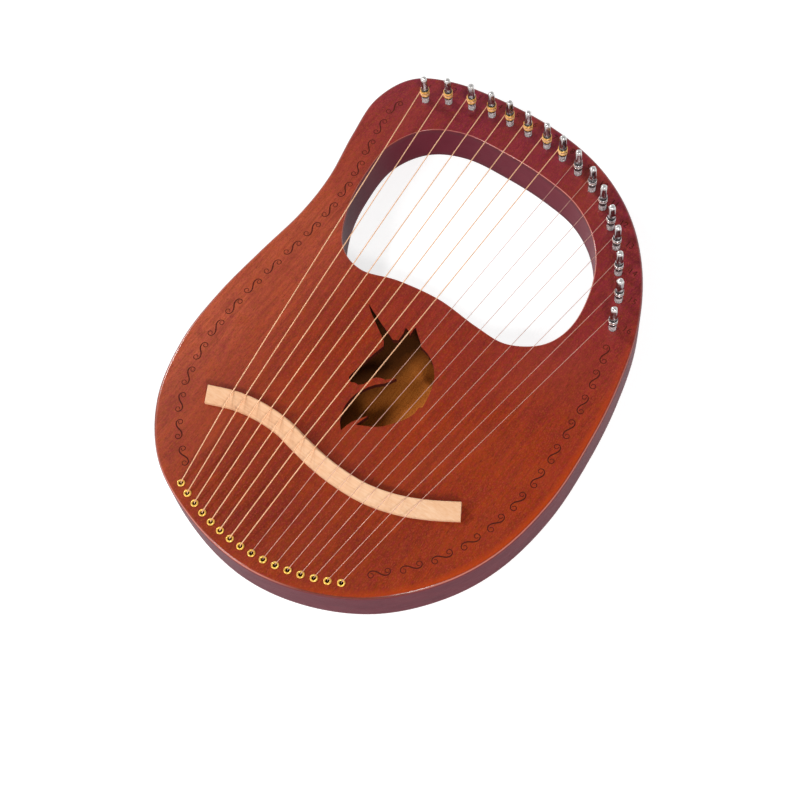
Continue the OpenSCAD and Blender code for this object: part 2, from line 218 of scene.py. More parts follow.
def lacquered_mahogany():
    """Stained and lacquered wood: crimson by the pins, partly stain and partly a painted cool
    reflection, and browner by the tail.

    The run says what an edge is like: -2 is the upright edge, in the side walls' colour with their
    painted shade and sheen, -1 the brim above it, with painted shade by the tail and on the bass
    side and a painted highlight elsewhere, 0 the plain face, 1 an edge rubbed down to the orange
    wood and 2 a painted highlight line. Values between blend.
    """
    s = Shader("mahogany")
    across = s.axis("X")
    height = s.axis("Y")
    # The run: an edge's wear, and where painted shade and painted highlights lie on it
    wear_and_light = s.run()
    drift = s.noise((13, 6, 13), 3, 0.55, 0.4)
    cloud = s.noise((22, 12, 22), 4, 0.6, 0.3)
    mottle = s.noise((110, 60, 110), 4, 0.65, 0.5)
    streak = s.noise((330, 22, 330), 3, 0.6, 0.4)
    fleck = s.noise((520, 400, 520), 3, 0.6, 0.3)
    fibre = s.noise((1000, 75, 1000), 4, 0.7, 0.3)
    speck = s.noise((1300, 800, 1300), 2)
    pore = s.band(s.noise((2300, 240, 2300), 2), 0.58, 0.70)

    # The face's colour in each part: crimson by the pins, partly stain and partly a painted cool
    # reflection, browner by the tail, a painted sheen on the bass side below the hand hole, and
    # deeper by the treble tail
    colour = s.mix(s.band(height + across * 0.1 + (cloud - 0.5) * 0.2, -0.03, 0.18),
                   rgb(166, 47, 0), rgb(134, 28, 74))
    colour = s.mix(s.band(height, -0.06, -0.15, 0, 0.7), colour, rgb(132, 38, 6))
    # A painted sheen lightens the bass side below the hand hole
    painted_sheen = s.band(across, -0.05, -0.12, 0, 0.8) * s.band(height, 0.12, 0.04)
    colour = s.mix(painted_sheen, colour, rgb(212, 104, 70))
    treble_side = s.band(across, 0.08, 0.14, 0, 0.5) * s.band(height, 0.04, -0.02)
    colour = s.mix(treble_side, colour, rgb(160, 34, 0))

    # Each layer: a pattern, the values at which it starts and is full, its share and its colour
    layers = (
        (drift, 0.50, 0.68, 0.30, rgb(186, 72, 20)), (drift, 0.48, 0.32, 0.25, rgb(118, 30, 22)),
        (mottle, 0.42, 0.66, 0.42, rgb(126, 32, 36)), (mottle, 0.50, 0.30, 0.45, rgb(168, 62, 12)),
        (streak, 0.40, 0.70, 0.42, rgb(100, 26, 12)), (fibre, 0.35, 0.75, 0.46, rgb(92, 24, 12)),
        (speck, 0.52, 0.70, 0.60, rgb(172, 76, 44)), (speck, 0.48, 0.30, 0.60, rgb(120, 52, 0)),
        (fleck, 0.52, 0.68, 0.40, rgb(146, 34, 44)), (fleck, 0.48, 0.32, 0.40, rgb(140, 70, 10)),
        (cloud, 0.48, 0.75, 0.32, rgb(170, 68, 30)))
    for pattern, start, full, share, tint in layers:
        colour = s.mix(s.band(pattern, start, full, 0, share), colour, tint)
    colour = s.mix(pore * 0.5, colour, rgb(58, 14, 6))

    # Edges: rubbed orange on the treble side, painted shade on the brim by the tail and on the bass
    # side, a painted highlight on the brim elsewhere, and a painted highlight line along the hand
    # hole
    rub = s.band(wear_and_light + (fibre - 0.5) * 0.9, 0.40, 1.1, 0, 0.65)
    handled = s.band(across, 0.03, 0.12, 0.1, 1) * s.band(height, 0.0, 0.10, 1, 0)
    colour = s.mix(rub * handled, colour, rgb(190, 66, 0))
    # The brim gets painted shade where dull, and a painted highlight where bright
    brim = s.band(wear_and_light, -1.5, -1.0) * s.band(wear_and_light, -0.3, -0.8)
    tail = s.band(across, 0.02, 0.05) * s.band(across, 0.125, 0.105) * s.band(height, 0.0, -0.05)
    dull = tail + s.band(across, -0.07, -0.11)
    bright = (1 - dull) * s.band(height, 0.10, 0.0, 0.1, 0.55)
    colour = s.mix(brim * dull * 0.7, colour, rgb(78, 24, 20))
    colour = s.mix(brim * bright, colour, rgb(220, 140, 124))
    # The upright edge takes the side walls' colour, with their painted shade and sheen, and has no
    # coat
    wall_coloured_edge = s.band(wear_and_light, -1.0, -1.8)
    colour = s.mix(wall_coloured_edge, colour, s.mix(cloud, rgb(88, 32, 44), rgb(114, 46, 56)))
    # A painted highlight line along the hand hole's edge, fainter on the bass side
    painted_highlight_line = s.band(wear_and_light, 1.2, 1.9, 0, 0.8) * s.band(across, -0.10, -0.02, 0.4, 1)
    colour = s.mix(painted_highlight_line, colour, rgb(240, 164, 146))

    s.set(Base_Color=colour, Roughness=fibre * 0.16 + 0.42, Specular_IOR_Level=0.1,
          Coat_Weight=0.8 - wall_coloured_edge * 0.8, Coat_Roughness=0.2,
          Normal=s.bump(fibre * 0.4 + streak * 0.3 - pore * 0.5, 0.18, 0.00012))
    return s.material


mahogany = lacquered_mahogany()


def shaded_side_grain():
    """The bent side walls: darker and purpler than the face, with painted shade and a painted cool
    sheen, and duller, with their grain along the curve.

    They have painted shadow beside the hand hole's bass end, and are redder behind the pins.
    """
    s = Shader("shaded_side_mahogany")
    across = s.axis("X")
    height = s.axis("Y")
    cloud = s.noise((26, 26, 60), 4, 0.6, 0.3)
    fibre = s.noise((90, 90, 1100), 4, 0.7, 0.3)
    pore = s.band(s.noise((260, 260, 2400), 2), 0.58, 0.70)
    # Painted shade and a painted cool sheen make the walls darker and purpler than the face's wood
    colour = s.mix(s.band(cloud, 0.35, 0.7), rgb(94, 34, 48), rgb(112, 46, 58))
    colour = s.mix(s.band(fibre, 0.35, 0.75, 0.0, 0.4), colour, rgb(76, 26, 34))
    colour = s.mix(pore * 0.35, colour, rgb(50, 18, 16))
    # Painted shadow on the walls by the hand hole's bass end
    painted_wall_shadow = s.band(across, -0.02, -0.07) * s.band(height, -0.01, 0.03, 0, 0.6)
    colour = s.mix(painted_wall_shadow, colour, rgb(56, 12, 30))
    colour = s.mix(s.band(height, 0.06, 0.13, 0, 0.5), colour, rgb(128, 40, 56))
    s.set(Base_Color=colour, Roughness=fibre * 0.16 + 0.42, Specular_IOR_Level=0.1,
          Normal=s.bump(fibre * 0.5 - pore * 0.5, 0.25, 0.00015))
    return s.material


shaded_side_mahogany = shaded_side_grain()


def shaded_bare_wood():
    """Bare inner wood, with painted shadow that darkens it towards the bass side and upwards."""
    s = Shader("bare_wood")
    across = s.axis("X")
    height = s.axis("Y")
    fibre = s.noise((700, 45, 700), 4, 0.65, 0.3)
    cloud = s.noise((60, 60, 60), 4, 0.65)
    speck = s.noise((1500, 1200, 1500), 2)
    # Painted shadow, dark towards the bass side and upwards
    painted_inner_shadow = s.band(across - height * 0.3 + (cloud - 0.5) * 0.02, -0.006, 0.036, 0.92, 0.0)
    colour = s.mix(s.band(fibre, 0.35, 0.7), rgb(246, 142, 50), rgb(218, 114, 34))
    colour = s.mix(s.band(speck, 0.5, 0.7, 0.0, 0.5), colour, rgb(240, 160, 80))
    colour = s.mix(s.band(speck, 0.5, 0.3, 0.0, 0.6), colour, rgb(120, 58, 8))
    colour = s.mix(painted_inner_shadow, colour, rgb(58, 26, 4))
    s.set(Base_Color=colour, Roughness=fibre * 0.1 + 0.7, Specular_IOR_Level=0.2,
          Normal=s.bump(fibre, 0.25, 0.00015))
    return s.material


bare_mahogany = shaded_bare_wood()
scorched = wood("scorched_wood", rgb(52, 16, 10), rgb(72, 24, 16), rgb(90, 32, 20), rough=0.7,
                gloss=0.1)
maple = wood("maple", rgb(202, 144, 104), rgb(226, 176, 134), rgb(236, 196, 160),
             fine=0.8, turned=radians(90), rough=0.5, pores=0.08)
block_wood = wood("block_wood", rgb(150, 108, 66), rgb(190, 148, 98), rgb(212, 174, 124), rough=0.7)
spruce = wood("spruce", rgb(186, 146, 92), rgb(220, 184, 128), rgb(236, 206, 156),
              turned=radians(90), rough=0.7, pores=0.1)


def shaded_in_bore(s, colour):
    """The colour, with painted shade inside an eyelet, below the face."""
    height = s.axis("Z")
    return s.mix(s.band(height, FACE + 0.1 * MM, FACE - 0.5 * MM), colour, rgb(44, 22, 12))


def metal(name, colour, tint, rough, metallic=1.0, painted_bore_shade=False):
    """Polished or plated metal: cloudy colour and roughness, and fine scratches."""
    s = Shader(name, Metallic=metallic)
    smear = s.noise((160, 160, 160), 4)
    scratch = s.noise((3000, 3000, 300), 2)
    tone = s.mix(s.band(smear, 0.35, 0.7), colour, tint)
    # Painted shade inside an eyelet, where this metal goes below the face
    s.set(Base_Color=shaded_in_bore(s, tone) if painted_bore_shade else tone,
          Roughness=smear * 0.16 + (rough - 0.05),
          Normal=s.bump(scratch, 0.12, 0.00003))
    return s.material


brass = metal("brass", rgb(255, 208, 104), rgb(252, 190, 78), 0.34, metallic=0.7)
eyelet_brass = metal("eyelet_brass", rgb(255, 212, 108), rgb(254, 198, 84), 0.30, metallic=0.6,
                     painted_bore_shade=True)
coil_steel = metal("steel_coil", rgb(226, 222, 222), rgb(196, 190, 190), 0.22)
steel = metal("steel_wire", rgb(228, 178, 160), rgb(202, 156, 140), 0.36, metallic=0.45,
              painted_bore_shade=True)


def threaded_nickel():
    """Nickel plate: fine dull threads round the shaft, and a polished square head.

    The shaft carries painted shade from below the lower winding up to the head, and the head is
    paler at its tip.
    """
    s = Shader("nickel")
    height = s.axis("Z")
    smear = s.noise((220, 220, 220), 4)
    shaft = s.band(height, SHOULDER, SHOULDER - 1.0 * MM)
    tip = s.band(height, TIP - 3.2 * MM, TIP - 1.6 * MM)
    # Painted shade on the shaft, round and between the windings
    painted_coil_shade = s.band(height, FACE + 5.0 * MM, FACE + 5.6 * MM) * shaft
    thread = height.wave(THREAD_PITCH) * shaft
    plate = s.mix(s.band(smear, 0.35, 0.7), rgb(255, 255, 255), rgb(214, 214, 216))
    # The head's plate is dimmed, a painted shade that darkens what it mirrors
    plate = s.mix((1 - shaft) * 0.9, plate, rgb(150, 140, 142))
    plate = s.mix(tip, plate, rgb(214, 212, 210))
    s.set(Base_Color=s.mix(painted_coil_shade * 0.9, plate, rgb(34, 24, 24)),
          Roughness=smear * 0.12 + 0.05 + shaft * 0.12,
          Metallic=1 - shaft * (1 - painted_coil_shade) * 0.3 - tip * 0.5,
          Normal=s.bump(thread + smear * 0.05, 1.0, 0.00015))
    return s.material


nickel = threaded_nickel()


def wound_wire(name, colour, shade, crease_shade, metallic):
    """Thin wire wound round a core: one ridge for each turn, and dips between the ridges with
    painted shade.
    """
    s = Shader(name, Metallic=metallic)
    ridge = s.run().wave(WIND_PITCH)
    cloud = s.noise((120, 120, 120), 3)
    tone = s.mix(s.band(cloud, 0.35, 0.7), colour, shade)
    # Painted shade in the dips between turns, and inside an eyelet
    s.set(Base_Color=shaded_in_bore(s, s.mix(ridge * 0.4 + 0.6, crease_shade, tone)),
          Roughness=cloud * 0.14 + 0.34,
          Normal=s.bump(ridge, 0.12, 0.00002))
    return s.material


bronze = wound_wire("bronze_wire", rgb(255, 207, 166), rgb(252, 195, 148), rgb(226, 160, 112),
                    metallic=0.3)
coil_bronze = wound_wire("bronze_coil", rgb(255, 212, 134), rgb(244, 184, 100), rgb(160, 94, 40),
                         metallic=0.85)


# ---------------------------------------------------------------- shapes

class Piece:
    """Grids, plates and ends of one piece, put into one mesh."""

    def __init__(self):
        self.points = []
        self.faces = []
        self.runs = []
        self.count = 0

    def add(self, points, faces, run=0.0):
        """Points, each with its run, and an array of faces, which counts them from 0."""
        self.faces += (self.count + faces).tolist()
        self.points.append(points)
        self.runs.append(np.broadcast_to(run, len(points)))
        self.count += len(points)

    def grid(self, points, round_u=False, round_v=False, flip=False, run=0.0):
        """Quads between the rows of a grid of points. Outward is u crossed with v.

        Returns the piece's number of each point of the grid.
        """
        nu, nv = points.shape[:2]
        index = np.arange(nu * nv).reshape(nu, nv)
        if round_u:
            index = np.vstack([index, index[:1]])
        if round_v:
            index = np.hstack([index, index[:, :1]])
        quads = np.stack([index[:-1, :-1], index[1:, :-1], index[1:, 1:], index[:-1, 1:]], -1)
        quads = quads.reshape(-1, 4)
        index = index + self.count
        self.add(points.reshape(-1, 3), quads[:, ::-1] if flip else quads,
                 np.broadcast_to(run, (nu, nv)).ravel())
        return index

    def end(self, rim, flip=False):
        """One flat face on a rim of points that a grid already has."""
        self.faces.append((rim[::-1] if flip else rim).tolist())

    def plate(self, loops, z, down=False):
        """Flat face at height z, cut into triangles whose sides follow the loops.

        A triangle stays if a line from its middle crosses the loops an odd number of times.
        """
        flat = np.vstack(loops)
        after = np.vstack([np.roll(loop, -1, axis=0) for loop in loops])
        ends = np.cumsum([len(loop) for loop in loops])
        follow = np.arange(len(flat)) + 1
        follow[ends - 1] = ends - [len(loop) for loop in loops]
        edges = list(enumerate(follow.tolist()))
        found = geometry.delaunay_2d_cdt([Vector(p) for p in flat], edges, [], 1, 1e-9)
        corners = np.array([tuple(p) for p in found[0]])
        faces = np.array(found[2])
        x, y = corners[faces].mean(axis=1).T[:, :, None]
        with np.errstate(divide="ignore", invalid="ignore"):
            cross = flat[:, 0] + (y - flat[:, 1]) * (after - flat)[:, 0] / (after - flat)[:, 1]
        hit = ((flat[:, 1] > y) != (after[:, 1] > y)) & (x < cross)
        faces = faces[hit.sum(axis=1) % 2 == 1]
        self.add(lift(corners, z), faces[:, ::-1] if down else faces)

    def build(self, name, material, body, nodes=(), sharp=35):
        """The piece's object, which rides on a body and stands for the nodes.

        Edges that turn more than sharp degrees stay sharp.
        """
        mesh = bpy.data.meshes.new(name)
        mesh.from_pydata(np.vstack(self.points).tolist(), [], self.faces)
        corner = np.zeros(len(mesh.loops), dtype=np.int32)
        mesh.loops.foreach_get("vertex_index", corner)
        run = np.concatenate(self.runs)[corner]
        if run.any():
            layer = mesh.uv_layers.new(name="run")
            layer.data.foreach_set("uv", np.column_stack([run, run]).ravel())
        mesh.polygons.foreach_set("use_smooth", np.ones(len(mesh.polygons), dtype=bool))
        weld(mesh)
        mesh.set_sharp_from_angle(angle=radians(sharp))
        mesh.materials.append(material)
        mesh.validate()
        piece = bpy.data.objects.new(name, mesh)
        scene.collection.objects.link(piece)
        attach(piece, body)
        if nodes:
            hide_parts(*nodes)


def weld(mesh):
    """Joins points that lie in one place, so that neighbouring grids share their edges."""
    work = bmesh.new()
    work.from_mesh(mesh)
    bmesh.ops.remove_doubles(work, verts=work.verts, dist=1e-7)
    work.to_mesh(mesh)
    work.free()


def smooth_loop(points, steps):
    """Closed curve through the points, made of one cubic between each two neighbours."""
    p = np.array(points, dtype=float)
    t = (np.arange(steps) / steps)[None, :, None]
    a, b, c, d = [np.roll(p, k, axis=0)[:, None] for k in (1, 0, -1, -2)]
    return cubic(a, b, c, d, t).reshape(-1, 2)


def smooth_path(points, steps):
    """Open curve through the points, made of one cubic between each two neighbours."""
    p = np.array(points, dtype=float)
    q = np.vstack([p[:1], p, p[-1:]])
    t = (np.arange(steps) / steps)[None, :, None]
    a, b, c, d = q[:-3, None], q[1:-2, None], q[2:-1, None], q[3:, None]
    return np.vstack([cubic(a, b, c, d, t).reshape(-1, p.shape[1]), p[-1:]])


def cubic(a, b, c, d, t):
    """The cubic from b to c, whose slope at each is half the step between its two neighbours."""
    return 0.5 * (2 * b + (c - a) * t + (2 * a - 5 * b + 4 * c - d) * t ** 2
                  + (3 * b - a - 3 * c + d) * t ** 3)


def sideways(curve, closed=True):
    """Unit vector to the right of the curve at each of its points."""
    if closed:
        ahead = np.roll(curve, -1, axis=0) - np.roll(curve, 1, axis=0)
    else:
        ahead = np.gradient(curve, axis=0)
    ahead /= np.linalg.norm(ahead, axis=1)[:, None]
    return np.column_stack([ahead[:, 1], -ahead[:, 0]])


def moved(loop, distance):
    """The closed loop moved sideways: outwards, where it runs against the clock."""
    return loop + distance * sideways(loop)


def lift(curve, z):
    """The flat curve at height z."""
    return np.column_stack([curve, np.full(len(curve), z)])


def upright(curve, bottom, top):
    """Grid of an upright wall on a curve, between two heights."""
    return np.stack([lift(curve, bottom), lift(curve, top)], 1)


def carried(profile, curve, closed=True):
    """Grid of a profile carried along a curve: u runs along the curve and v along the profile.

    A point (d, z) of the profile lies d to the right of the curve, at height z.
    """
    profile = np.array(profile)
    flat = curve[:, None] + profile[None, :, :1] * sideways(curve, closed)[:, None]
    z = np.broadcast_to(profile[None, :, 1:], flat.shape[:2] + (1,))
    return np.concatenate([flat, z], -1)


def round_about(centre, reach, angle):
    """Points (reach cos angle, reach sin angle) about a centre."""
    return centre + np.column_stack([reach * np.cos(angle), reach * np.sin(angle)])


def ring(centre, radius):
    """Circle of 24 points about a centre."""
    return round_about(centre, radius, np.linspace(0, 2 * pi, 24, endpoint=False))


def tube(piece, path, radius, sides=10):
    """Round tube along a path: each ring stands square to the path, turned least from the last.

    Its run is the distance along the path.
    """
    ahead = np.gradient(path, axis=0)
    ahead /= np.linalg.norm(ahead, axis=1)[:, None]
    up = np.empty_like(path)
    start = np.array([0.0, 0.0, 1.0]) if abs(ahead[0, 2]) < 0.9 else np.array([1.0, 0.0, 0.0])
    for i, t in enumerate(ahead):
        start = start - (start @ t) * t
        start /= np.linalg.norm(start)
        up[i] = start
    side = np.cross(ahead, up)
    a = np.linspace(0, 2 * pi, sides, endpoint=False)
    rings = path[:, None] + radius * (
        np.cos(a)[None, :, None] * side[:, None] + np.sin(a)[None, :, None] * up[:, None])
    run = np.concatenate([[0], np.cumsum(np.linalg.norm(np.diff(path, axis=0), axis=1))])
    index = piece.grid(rings, round_v=True, flip=True, run=run[:, None] + 1e-6)
    piece.end(index[0, :-1])
    piece.end(index[-1, :-1], flip=True)


def lathe(piece, profile, centre, sides=32):
    """Closed profile of (radius, height) turned about a vertical axis at centre."""
    profile = np.array(profile)
    a = np.linspace(0, 2 * pi, sides, endpoint=False)
    x = centre[0] + profile[None, :, 0] * np.cos(a)[:, None]
    y = centre[1] + profile[None, :, 0] * np.sin(a)[:, None]
    z = np.broadcast_to(profile[None, :, 1], x.shape)
    piece.grid(np.stack([x, y, z], -1), round_u=True, round_v=True)


# ---------------------------------------------------------------- outlines

# Points of each outline in mm: the body's and the hand hole's loops, the soundhole's pieces of
# curve with sharp corners between them, and the bridge's ridge
OUTLINE = [
    (4, -204), (49, -196), (90, -175), (121, -142), (140, -103), (148, -55), (146, -5),
    (139, 42), (126, 88), (103, 131), (71, 166), (31, 190), (-15, 202), (-62, 204),
    (-106, 199), (-136, 184), (-148, 153), (-143, 116), (-134, 75), (-132, 37),
    (-136, -5), (-139, -50), (-136, -95), (-120, -141), (-88, -177), (-43, -197)]
HAND_HOLE = [
    (32, 27.5), (58, 27.5), (80, 42.5), (87, 68.5), (79, 104.5), (61, 132.5), (34, 151.5),
    (2, 159.5), (-32, 162.5), (-69, 161.5), (-97, 148.5), (-112, 121.5), (-111, 87.5),
    (-103, 56.5), (-87, 30.5), (-64, 21.5), (-36, 28.5), (-2, 31.5)]
SOUNDHOLE = [
    [(-42, 1), (-25, -7), (-10, -13.5)],
    [(-6.5, -11.5), (-7, -5), (-8, -1), (-4.5, -2), (-2, -4.5)],
    [(-2.5, -1), (-2.5, 3), (2, -0.5), (6.5, -4)],
    [(10, -7.5), (17, -9.5), (25, -14.5), (31, -21.5), (34.5, -29), (37, -38.5), (38, -45.5)],
    [(36, -47), (36, -53), (33, -60), (27, -68.5), (20, -75), (8, -81)],
    [(11, -71), (8, -75), (4, -82), (2, -90)],
    [(-2.5, -85), (-6, -77), (-7, -68), (-5, -59), (0, -50), (6, -44), (10, -37)],
    [(4.5, -42), (0, -43), (-3.5, -46), (-6, -53)],
    [(-9, -55.5), (-12, -55.5), (-15, -56.5), (-18, -54), (-17.5, -48)],
    [(-17, -42), (-15.5, -35), (-14, -28), (-12.5, -21)],
    [(-15, -17.5), (-26, -10.5), (-36, -4)]]
RIDGE = [
    (-92, -116), (-72, -109), (-52, -106), (-32, -106.5), (-13, -110.5), (6, -114),
    (26, -115.5), (46, -114.5), (66, -109.5), (84, -101.5), (102, -91)]

# The outline fills the front board's box exactly
outline = smooth_loop(OUTLINE, 12) * MM
stretch = (high - low)[:2] / np.ptp(outline, axis=0)
outline = (outline - (outline.min(0) + outline.max(0)) / 2) * stretch + (low + high)[:2] / 2
hand_hole = smooth_loop(HAND_HOLE, 12) * MM
soundhole = np.vstack([smooth_path(run, 5) for run in SOUNDHOLE]) * MM
ridge = smooth_path(RIDGE, 8) * MM


def label(i):
    """A string's number as it stands in the names: 01 to 16."""
    return "%02d" % (i + 1)


# Strings count from 0, at the bass end, and the first BASS of them are wound with bronze. LEVEL is
# the height at which a string leaves its pin, CREST the height of the bridge's ridge and GAP the
# play between neighbours.
COUNT = 16
BASS = 8
PIN_R = 2.8 * MM
LEVEL = FACE + 9.7 * MM
CREST = FACE + 8 * MM
GAP = 0.2 * MM
boxes = [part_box("tuning_pin_" + label(i)) for i in range(COUNT)]
pins = [np.array(box).mean(0)[:2] for box in boxes]

# The eyelets lie on an arc, at equal angles
ARC_CENTRE = np.array([-2, -40.5]) * MM
ARC_RADIUS = 153.5 * MM
angles = [radians(-88.2 + (i - 7.5) * 3.39) for i in range(COUNT)]
eyelets = [ARC_CENTRE + ARC_RADIUS * np.array([cos(a), sin(a)]) for a in angles]
wires = [(0.375 if i < BASS else 0.2) * MM for i in range(COUNT)]


# ---------------------------------------------------------------- body

# Radii of the rounded edges, along the outline and round the hand hole
ROUND = 2.2 * MM
HOLE_ROUND = 1.1 * MM

# Radii of the bores for eyelets and ferrules, and thickness of the walls
EYELET_BORE = 1.8 * MM
FERRULE_BORE = 2.9 * MM
WALL = 5 * MM

# How far past a rounded edge each of its last rows lies on the flat face
REACHES = np.array([0.8, 3, 6.5]) * MM

# The run of each row of a rounded rim, from the upright edge to the face, which places its wear,
# painted shade and painted highlights: see the mahogany
OUTER_LIGHT_AND_WEAR = [-2, -2, -1.8, -1.6, -1.1, -0.9, -0.7, 0.6, 1, 1, 0.9, 0.6, 0]
FRONT_HOLE_LIGHT_AND_WEAR = [-2, -2, -1.8, -0.6, 0.7, 1.7, 2, 1.2, 0, 0, 0, 0, 0]
BACK_HOLE_EDGE_LIGHT = [-2] * 10 + [-4 / 3, -2 / 3, 0]


def rounded_rim(loop, inward, inner, outer, bend):
    """Grid from a board's inner side, round its edge and onto its outer side.

    For an angle a from 0 to 90 degrees, a row lies bend * (1 - cos a) from the loop towards the
    board's middle, and bend * (1 - sin a) short of the outer side.
    """
    way = 1 if outer > inner else -1
    a = np.linspace(0, pi / 2, 9)
    reach = np.concatenate([[0], bend * (1 - np.cos(a)), bend + REACHES])
    z = np.concatenate([[inner], outer - way * bend * (1 - np.sin(a)), [outer] * len(REACHES)])
    return carried(np.column_stack([inward * reach, z]), loop)


def board(name, node, inner, outer, hole_light_and_wear, holes, bores):
    """Board between the heights inner and outer, with the edges of its outer side rounded.

    Holes have their wall in a piece of its own, and bores have it in the board.
    """
    piece = Piece()
    up = outer > inner
    piece.grid(rounded_rim(outline, -1, inner, outer, ROUND), round_u=True, flip=not up,
               run=OUTER_LIGHT_AND_WEAR)
    piece.grid(rounded_rim(hand_hole, 1, inner, outer, HOLE_ROUND), round_u=True, flip=up,
               run=hole_light_and_wear)
    flat = [moved(outline, -ROUND - REACHES[-1]), moved(hand_hole, HOLE_ROUND + REACHES[-1])]
    piece.plate(flat + holes + bores, outer, down=not up)
    piece.plate([outline, hand_hole] + holes + bores, inner, down=up)
    for loop in bores:
        wall_of_bore = upright(loop, min(inner, outer), max(inner, outer))
        piece.grid(wall_of_bore, round_u=True, flip=True)
    piece.build(name, mahogany, "body", [node])


pin_bores = [ring(p, PIN_R + GAP) for p in pins]
eyelet_bores = [ring(e, EYELET_BORE) for e in eyelets]
ferrule_bores = [ring(e, FERRULE_BORE) for e in eyelets]
board("front_face", "front_board", INSIDE, FACE, FRONT_HOLE_LIGHT_AND_WEAR, [soundhole],
      pin_bores + eyelet_bores)
board("back_face", "back_board", FLOOR, 0.0, BACK_HOLE_EDGE_LIGHT, [], ferrule_bores)


def wall(name, node, loop, thick):
    """Closed wall between the boards, with a rectangle as its section.

    It is thick outwards from the loop, or inwards if thick is negative.
    """
    section = [(0, FLOOR), (0, INSIDE), (thick, INSIDE), (thick, FLOOR)]
    piece = Piece()
    piece.grid(carried(section, loop), round_u=True, round_v=True, flip=thick > 0)
    piece.build(name, shaded_side_mahogany, "body", [node])


wall("outer_wall", "side_rim", outline, -WALL)
wall("hand_hole_wall", "hole_rim", hand_hole, WALL)

# The soundhole's edge is scorched by cutting. It ends a hair above the face.
HAIR = 0.004 * MM
edge = Piece()
edge.grid(upright(soundhole, INSIDE, FACE + HAIR), round_u=True)
edge.build("soundhole_edge", scorched, "body")

# Bare inner side of the back board, seen through the soundhole: a thin skin with wide holes
# round the ferrules
SKIN = 0.05 * MM
inside = Piece()
between_walls = [moved(outline, -WALL - GAP), moved(hand_hole, WALL + GAP)]
inside.plate(between_walls + [ring(e, FERRULE_BORE + 1.1 * MM) for e in eyelets], FLOOR + SKIN)
inside.build("back_inside", bare_mahogany, "body")


# ---------------------------------------------------------------- burnt ornament

MARK = FACE + 0.02 * MM
CURL = 7.4
SCROLL_LENGTH = 14.6 * MM
SCROLL_WIDTH = 0.95 * MM

# The two runs of scrolls: 1 if it follows the outline and -1 if it goes against it, then in mm
# where it starts, its distance from the outline, the first scroll's distance from the start and
# the spacing, and last the number of scrolls
RUNS = [(1, (-128, 157), 17.6, 4, 20.9, 17), (-1, (119, 56), 17, 0, 20.85, 12)]


def scroll(curl, length):
    """An S whose ends curl up.

    The line heads curl * |t| ** 1.9 radians from its own middle's direction, for t from -1 to 1
    along it. It is then turned upright and scaled to the length.
    """
    t = np.linspace(-1, 1, 73)
    heading = curl * np.abs(t) ** 1.9
    line = np.cumsum(np.column_stack([np.sin(heading), np.cos(heading)]), axis=0)
    line -= (line[0] + line[-1]) / 2
    lean = atan2(*line[-1])
    line = line @ np.array([[cos(lean), sin(lean)], [-sin(lean), cos(lean)]])
    return line * length / np.ptp(line[:, 1])


def ribbon(piece, line, width, z):
    """Flat strip along a line, width * (1 + exp(-4 t^2)) / 2 wide for t from -1 to 1 along it."""
    t = np.linspace(-1, 1, len(line))
    half_width = width / 2 * (0.5 + 0.5 * np.exp(-4 * t ** 2))
    across = sideways(line, closed=False) * half_width[:, None]
    piece.grid(np.stack([lift(line - across, z), lift(line + across, z)], 1))


def places_along(curve, start, offset, spacing, count):
    """Places at equal spacing along a closed curve, each with the curve's direction there.

    The first lies offset past the curve's point that is nearest to start.
    """
    first = np.argmin(np.linalg.norm(curve - start, axis=1))
    curve = np.roll(curve, -first, axis=0)
    run = np.concatenate([[0], np.cumsum(np.linalg.norm(np.diff(curve, axis=0), axis=1))])
    at = offset + np.arange(count) * spacing
    place = np.column_stack([np.interp(at, run, curve[:, k]) for k in (0, 1)])
    ahead = np.column_stack([np.interp(at + 1 * MM, run, curve[:, k]) for k in (0, 1)])
    return zip(place, (ahead - place) / np.linalg.norm(ahead - place, axis=1)[:, None])


marks = Piece()
for hand, start, inset, offset, spacing, count in RUNS:
    line = scroll(CURL, SCROLL_LENGTH) * [hand, 1]
    curve = moved(outline, -inset * MM)[::hand]
    for place, way in places_along(curve, np.array(start) * MM, offset * MM, spacing * MM, count):
        turned = np.array([[-way[1], way[0]], [-way[0], -way[1]]])
        ribbon(marks, place + line @ turned, SCROLL_WIDTH, MARK)
marks.build("rim_scrolls", scorched, "body")


# Height of the built-in font's digits at its own size, and of the numbers on the face
FONT_HEIGHT = 0.69
NUMBER_HEIGHT = 4.6 * MM


def number(text, place):
    """Points and triangles of a number in the built-in font, flat on the face and upright in Y."""
    curve = bpy.data.curves.new("digits", "FONT")
    curve.body = text
    curve.align_x = "CENTER"
    curve.align_y = "CENTER"
    curve.resolution_u = 3
    source = bpy.data.objects.new("digits", curve)
    mesh = bpy.data.meshes.new_from_object(source)
    bpy.data.objects.remove(source)
    flat = np.zeros(len(mesh.vertices) * 3)
    mesh.vertices.foreach_get("co", flat)
    flat = flat.reshape(-1, 3)[:, :2] * NUMBER_HEIGHT / FONT_HEIGHT
    triangles = np.zeros(len(mesh.loops), dtype=np.int32)
    mesh.loops.foreach_get("vertex_index", triangles)
    bpy.data.meshes.remove(mesh)
    return lift(place + flat, MARK), triangles.reshape(-1, 3)


# Each number lies between its pin and the nearest point of the outline, nearer to the outline
WAY_OUT = 0.58
numbers = Piece()
for i, p in enumerate(pins):
    near = outline[np.argmin(np.linalg.norm(outline - p, axis=1))]
    numbers.add(*number(str(i + 1), p + (near - p) * WAY_OUT))
numbers.build("pin_numbers", scorched, "body")


# ---------------------------------------------------------------- bridge

